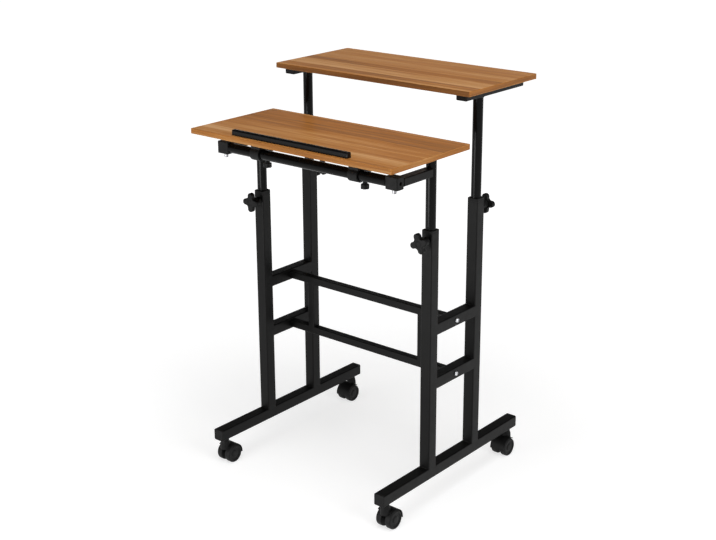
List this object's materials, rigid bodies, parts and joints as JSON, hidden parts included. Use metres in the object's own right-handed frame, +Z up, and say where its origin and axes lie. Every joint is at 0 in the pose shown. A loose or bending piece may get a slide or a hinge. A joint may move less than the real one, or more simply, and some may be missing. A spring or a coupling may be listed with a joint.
{
  "type": "sit-stand desk",
  "caption": "Two-tier rolling standing desk: tilting desk top and rear shelf on telescoping posts with clamp knobs, casters under the feet.",
  "frame": {"origin": "on the floor, under the middle of the desk's overall box, midway between the side frames and the posts", "axes": "+Z up, +X to the sitter's right, +Y from the sitter towards the shelf"},
  "size_m": [0.626, 0.584, 1.023],
  "materials": {
    "frame_steel": "satin black powder coat",
    "slide_steel": "smooth glossier black paint",
    "black_plastic": "fine-grained moulded black",
    "gloss_black_plastic": "glossy moulded black",
    "soft_rubber": "plain black rubber",
    "wheel_black": "matt black tread",
    "zinc": "bright zinc plating",
    "board": "warm brown wood-grain laminate, grain along X, edge banding to match"
  },
  "bodies": {
    "base": {"foot_left": "frame_steel", "foot_right": "frame_steel", "front_post_left": "frame_steel", "front_post_right": "frame_steel", "rear_post_left": "frame_steel", "rear_post_right": "frame_steel", "upper_rung_left": "frame_steel", "upper_rung_right": "frame_steel", "lower_rung_left": "frame_steel", "lower_rung_right": "frame_steel", "front_collar_left": "black_plastic", "front_collar_right": "black_plastic", "rear_collar_left": "black_plastic", "rear_collar_right": "black_plastic", "upper_crossbar": "frame_steel", "lower_crossbar": "frame_steel", "strut_left": "frame_steel", "strut_right": "frame_steel", "upper_bolt_left": "zinc", "upper_bolt_right": "zinc", "lower_bolt_left": "zinc", "lower_bolt_right": "zinc"},
    "desk_frame": {"desk_post_left": "slide_steel", "desk_post_right": "slide_steel", "desk_rest_pad_left": "soft_rubber", "desk_rest_pad_right": "soft_rubber", "side_rail_left": "frame_steel", "side_rail_right": "frame_steel", "corner_block_left": "black_plastic", "corner_block_right": "black_plastic", "corner_screw_left": "zinc", "corner_screw_right": "zinc", "front_rail": "slide_steel"},
    "table": {"desk_top": "board", "front_stop": "gloss_black_plastic", "tilt_clamp_left": "black_plastic", "tilt_clamp_right": "black_plastic"},
    "tilt_knob_l": {"tilt_knob_left": "black_plastic"},
    "tilt_knob_r": {"tilt_knob_right": "black_plastic"},
    "shelf": {"shelf_top": "board", "shelf_post_left": "slide_steel", "shelf_post_right": "slide_steel", "shelf_bracket_left": "frame_steel", "shelf_bracket_right": "frame_steel"},
    "clamp_knob_fl": {"front_clamp_knob_left": "black_plastic"},
    "clamp_knob_fr": {"front_clamp_knob_right": "black_plastic"},
    "clamp_knob_rl": {"rear_clamp_knob_left": "black_plastic"},
    "clamp_knob_rr": {"rear_clamp_knob_right": "black_plastic"},
    "caster_fl": {"front_caster_hood_left": "black_plastic"},
    "caster_fr": {"front_caster_hood_right": "black_plastic"},
    "caster_rl": {"rear_caster_hood_left": "black_plastic"},
    "caster_rr": {"rear_caster_hood_right": "black_plastic"},
    "wheel_fl_inner": {"front_wheel_inner_left": "wheel_black"},
    "wheel_fl_outer": {"front_wheel_outer_left": "wheel_black"},
    "wheel_fr_inner": {"front_wheel_inner_right": "wheel_black"},
    "wheel_fr_outer": {"front_wheel_outer_right": "wheel_black"},
    "wheel_rl_inner": {"rear_wheel_inner_left": "wheel_black"},
    "wheel_rl_outer": {"rear_wheel_outer_left": "wheel_black"},
    "wheel_rr_inner": {"rear_wheel_inner_right": "wheel_black"},
    "wheel_rr_outer": {"rear_wheel_outer_right": "wheel_black"}
  },
  "joints": [
    {"name": "desk_lift", "type": "slide", "parent": "base", "child": "desk_frame", "axis": [0, 0, 1], "range_m": [-0.125, 0.2]},
    {"name": "table_tilt", "type": "hinge", "parent": "desk_frame", "child": "table", "pos_m": [0, -0.22, 0.85], "axis": [1, 0, 0], "range_deg": [0, 40]},
    {"name": "tilt_knob_turn_left", "type": "hinge", "parent": "table", "child": "tilt_knob_l", "pos_m": [-0.154, -0.189, 0.82], "axis": [0, 0, 1], "range_deg": [-180, 180]},
    {"name": "tilt_knob_turn_right", "type": "hinge", "parent": "table", "child": "tilt_knob_r", "pos_m": [0.154, -0.189, 0.82], "axis": [0, 0, 1], "range_deg": [-180, 180]},
    {"name": "shelf_lift", "type": "slide", "parent": "base", "child": "shelf", "axis": [0, 0, 1], "range_m": [-0.24, 0.2]},
    {"name": "clamp_turn_front_left", "type": "hinge", "parent": "base", "child": "clamp_knob_fl", "pos_m": [-0.27, -0.12, 0.686], "axis": [0, 1, 0], "range_deg": [-180, 180]},
    {"name": "clamp_turn_front_right", "type": "hinge", "parent": "base", "child": "clamp_knob_fr", "pos_m": [0.27, -0.12, 0.686], "axis": [0, 1, 0], "range_deg": [-180, 180]},
    {"name": "clamp_turn_rear_left", "type": "hinge", "parent": "base", "child": "clamp_knob_rl", "pos_m": [-0.27, 0.12, 0.723], "axis": [0, 1, 0], "range_deg": [-180, 180]},
    {"name": "clamp_turn_rear_right", "type": "hinge", "parent": "base", "child": "clamp_knob_rr", "pos_m": [0.27, 0.12, 0.723], "axis": [0, 1, 0], "range_deg": [-180, 180]},
    {"name": "swivel_front_left", "type": "hinge", "parent": "base", "child": "caster_fl", "pos_m": [-0.27, -0.258, 0.06], "axis": [0, 0, 1], "continuous": true},
    {"name": "swivel_front_right", "type": "hinge", "parent": "base", "child": "caster_fr", "pos_m": [0.27, -0.258, 0.06], "axis": [0, 0, 1], "continuous": true},
    {"name": "swivel_rear_left", "type": "hinge", "parent": "base", "child": "caster_rl", "pos_m": [-0.27, 0.258, 0.06], "axis": [0, 0, 1], "continuous": true},
    {"name": "swivel_rear_right", "type": "hinge", "parent": "base", "child": "caster_rr", "pos_m": [0.27, 0.258, 0.06], "axis": [0, 0, 1], "continuous": true},
    {"name": "roll_fl_inner", "type": "hinge", "parent": "caster_fl", "child": "wheel_fl_inner", "pos_m": [-0.256, -0.244, 0.024], "axis": [1, 0, 0], "continuous": true},
    {"name": "roll_fl_outer", "type": "hinge", "parent": "caster_fl", "child": "wheel_fl_outer", "pos_m": [-0.284, -0.244, 0.024], "axis": [1, 0, 0], "continuous": true},
    {"name": "roll_fr_inner", "type": "hinge", "parent": "caster_fr", "child": "wheel_fr_inner", "pos_m": [0.256, -0.244, 0.024], "axis": [1, 0, 0], "continuous": true},
    {"name": "roll_fr_outer", "type": "hinge", "parent": "caster_fr", "child": "wheel_fr_outer", "pos_m": [0.284, -0.244, 0.024], "axis": [1, 0, 0], "continuous": true},
    {"name": "roll_rl_inner", "type": "hinge", "parent": "caster_rl", "child": "wheel_rl_inner", "pos_m": [-0.256, 0.244, 0.024], "axis": [1, 0, 0], "continuous": true},
    {"name": "roll_rl_outer", "type": "hinge", "parent": "caster_rl", "child": "wheel_rl_outer", "pos_m": [-0.284, 0.244, 0.024], "axis": [1, 0, 0], "continuous": true},
    {"name": "roll_rr_inner", "type": "hinge", "parent": "caster_rr", "child": "wheel_rr_inner", "pos_m": [0.256, 0.244, 0.024], "axis": [1, 0, 0], "continuous": true},
    {"name": "roll_rr_outer", "type": "hinge", "parent": "caster_rr", "child": "wheel_rr_outer", "pos_m": [0.284, 0.244, 0.024], "axis": [1, 0, 0], "continuous": true}
  ]
}
